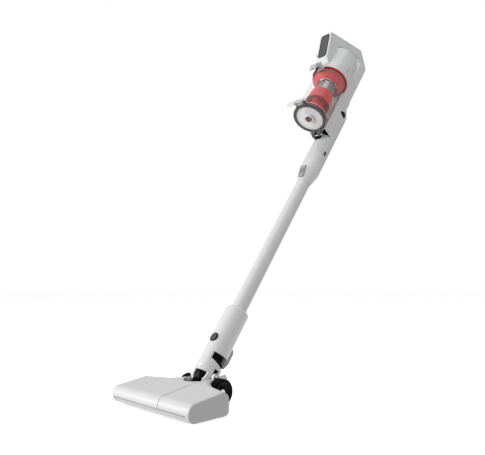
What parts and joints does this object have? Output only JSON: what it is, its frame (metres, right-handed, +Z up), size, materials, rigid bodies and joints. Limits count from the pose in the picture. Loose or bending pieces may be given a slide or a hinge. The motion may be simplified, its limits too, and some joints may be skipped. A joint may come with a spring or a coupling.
{
  "type": "cordless stick vacuum",
  "caption": "Cordless stick vacuum: motorised floor head on a tilting neck, straight wand, clear cyclone dust cup, motor barrel and loop handle.",
  "frame": {"origin": "on the floor, under the middle of the overall bounding box, on the machine's plane of symmetry", "axes": "+Z up from the floor; -Y points to the nose of the floor head and the front of the hand unit; +X is on the right of a viewer who faces the nose, the side with the pull-out end cap"},
  "size_m": [0.24, 0.7756, 0.9567],
  "materials": {
    "white_plastic": "satin",
    "grey_plastic": "satin",
    "light_grey_plastic": "satin",
    "dark_grey_plastic": "matte",
    "black_plastic": "semi-gloss",
    "red_plastic": "satin",
    "clear_plastic": "clear",
    "wand_metal": "anodised",
    "steel": "ground",
    "mesh_steel": "perforated",
    "rubber": "matte",
    "bristle": "fibre",
    "filter_cloth": "pleated",
    "battery_wrap": "shrink wrap",
    "board": "lacquered",
    "pink_plastic": "satin"
  },
  "bodies": {
    "hand_unit": {"right_shell": "light_grey_plastic", "left_shell": "light_grey_plastic", "hand_tube": "light_grey_plastic", "port_plug": "grey_plastic", "cup_hook": "black_plastic", "exhaust_grille": "dark_grey_plastic", "trigger_pin": "steel", "inlet_duct": "dark_grey_plastic", "battery_cells": "battery_wrap", "inner_brackets": "dark_grey_plastic", "control_board": "board", "dock_pad": "dark_grey_plastic", "motor_barrel": "light_grey_plastic", "suction_motor": "steel", "filters": "filter_cloth", "air_seals": "rubber"},
    "trigger": {"trigger": "dark_grey_plastic"},
    "pack_button": {"pack_release": "black_plastic"},
    "impeller": {"impeller": "black_plastic"},
    "dust_cup": {"cup_wall": "clear_plastic", "cup_pins": "steel", "cyclone_flange": "red_plastic", "cyclone_mesh": "mesh_steel", "cyclone_skirt": "red_plastic"},
    "cup_lever": {"cup_release": "clear_plastic", "release_fin": "dark_grey_plastic"},
    "cup_lid": {"lid_ring": "dark_grey_plastic", "lid_disc": "pink_plastic"},
    "lid_latch": {"lid_latch": "clear_plastic"},
    "wand": {"wand_tube": "wand_metal", "wand_collar": "white_plastic"},
    "wand_button": {"wand_release_button": "grey_plastic"},
    "connector": {"lower_connector": "white_plastic", "connector_sleeve": "black_plastic"},
    "snap_button": {"snap_button": "grey_plastic"},
    "foot_latch": {"latch_pedal": "grey_plastic", "latch_hooks": "dark_grey_plastic"},
    "elbow": {"elbow_shell": "white_plastic", "elbow_spigot": "black_plastic", "swivel_pin": "steel"},
    "yoke": {"neck_yoke": "black_plastic"},
    "floor_head": {"head_cover": "white_plastic", "head_sole": "grey_plastic", "left_end_cap": "grey_plastic", "front_strip": "dark_grey_plastic", "brush_motor": "steel", "drive_belt": "rubber", "suction_duct": "dark_grey_plastic", "head_axles": "steel"},
    "end_cap": {"right_end_cap": "grey_plastic"},
    "brush": {"brush_roll": "red_plastic", "brush_bristles": "bristle"},
    "motor_pulley": {"motor_pulley": "steel"},
    "right_rollers": {"sole_rollers_right": "dark_grey_plastic"},
    "left_rollers": {"sole_rollers_left": "dark_grey_plastic"},
    "right_wheel": {"right_tyre": "rubber", "right_wheel_hub": "black_plastic"},
    "left_wheel": {"left_tyre": "rubber", "left_wheel_hub": "black_plastic"}
  },
  "joints": [
    {"name": "trigger_pull", "type": "hinge", "parent": "hand_unit", "child": "trigger", "pos_m": [0, 0.2613, 0.93375], "axis": [1, 0, 0], "range_deg": [0, 8], "stiffness_Nm_per_rad": 0.4, "springref_deg": -6.88},
    {"name": "pack_button_press", "type": "slide", "parent": "hand_unit", "child": "pack_button", "axis": [-1, 0, 0], "range_m": [0, 0.0012], "stiffness_N_per_m": 500, "springref_m": -0.002},
    {"name": "impeller_spin", "type": "hinge", "parent": "hand_unit", "child": "impeller", "pos_m": [0, 0.23187, 0.83381], "axis": [0, 0.599, 0.8007], "continuous": true},
    {"name": "cup_pull", "type": "slide", "parent": "hand_unit", "child": "dust_cup", "axis": [0, -0.8007, 0.599], "range_m": [0, 0.11]},
    {"name": "cup_lever_press", "type": "hinge", "parent": "dust_cup", "child": "cup_lever", "pos_m": [0, 0.17132, 0.83851], "axis": [1, 0, 0], "range_deg": [0, 8], "stiffness_Nm_per_rad": 0.5, "springref_deg": -8.59},
    {"name": "lid_open", "type": "hinge", "parent": "dust_cup", "child": "cup_lid", "pos_m": [0, 0.14946, 0.64069], "axis": [1, 0, 0], "range_deg": [0, 70]},
    {"name": "lid_latch_press", "type": "hinge", "parent": "cup_lid", "child": "lid_latch", "pos_m": [0, 0.07677, 0.7138], "axis": [1, 0, 0], "range_deg": [0, 12], "stiffness_Nm_per_rad": 0.5, "springref_deg": -8.59},
    {"name": "wand_pull", "type": "slide", "parent": "hand_unit", "child": "wand", "axis": [0, -0.599, -0.8007], "range_m": [0, 0.06]},
    {"name": "wand_button_press", "type": "slide", "parent": "wand", "child": "wand_button", "axis": [0, 0.8007, -0.599], "range_m": [0, 0.0018], "stiffness_N_per_m": 500, "springref_m": -0.002},
    {"name": "connector_pull", "type": "slide", "parent": "wand", "child": "connector", "axis": [0, -0.599, -0.8007], "range_m": [0, 0.05]},
    {"name": "snap_button_press", "type": "slide", "parent": "connector", "child": "snap_button", "axis": [0, 0.8007, -0.599], "range_m": [0, 0.0025], "stiffness_N_per_m": 500, "springref_m": -0.002},
    {"name": "foot_latch_press", "type": "slide", "parent": "connector", "child": "foot_latch", "axis": [0, -0.599, -0.8007], "range_m": [0, 0.005], "stiffness_N_per_m": 600, "springref_m": -0.003},
    {"name": "elbow_pull", "type": "slide", "parent": "connector", "child": "elbow", "axis": [0, -0.599, -0.8007], "range_m": [0, 0.04]},
    {"name": "neck_swivel", "type": "hinge", "parent": "elbow", "child": "yoke", "pos_m": [0, -0.24842, 0.0504], "axis": [0, -0.8007, 0.599], "range_deg": [-9, 9]},
    {"name": "neck_pitch", "type": "hinge", "parent": "yoke", "child": "floor_head", "pos_m": [0, -0.24842, 0.0504], "axis": [1, 0, 0], "range_deg": [-36.8, 20]},
    {"name": "end_cap_pull", "type": "slide", "parent": "floor_head", "child": "end_cap", "axis": [1, 0, 0], "range_m": [0, 0.025]},
    {"name": "brush_spin", "type": "hinge", "parent": "floor_head", "child": "brush", "pos_m": [0, -0.36592, 0.0172], "axis": [1, 0, 0], "continuous": true},
    {"name": "motor_pulley_spin", "type": "hinge", "parent": "floor_head", "child": "motor_pulley", "pos_m": [0, -0.31642, 0.022], "axis": [1, 0, 0], "continuous": true},
    {"name": "right_roller_spin", "type": "hinge", "parent": "floor_head", "child": "right_rollers", "pos_m": [0, -0.33642, 0.005], "axis": [1, 0, 0], "continuous": true},
    {"name": "left_roller_spin", "type": "hinge", "parent": "floor_head", "child": "left_rollers", "pos_m": [0, -0.33642, 0.005], "axis": [1, 0, 0], "continuous": true},
    {"name": "right_wheel_spin", "type": "hinge", "parent": "floor_head", "child": "right_wheel", "pos_m": [0, -0.24842, 0.0256], "axis": [1, 0, 0], "continuous": true},
    {"name": "left_wheel_spin", "type": "hinge", "parent": "floor_head", "child": "left_wheel", "pos_m": [0, -0.24842, 0.0256], "axis": [1, 0, 0], "continuous": true}
  ],
  "couplings": [
    {"joint": "motor_pulley_spin", "follows": "brush_spin", "ratio": 1.6364}
  ]
}
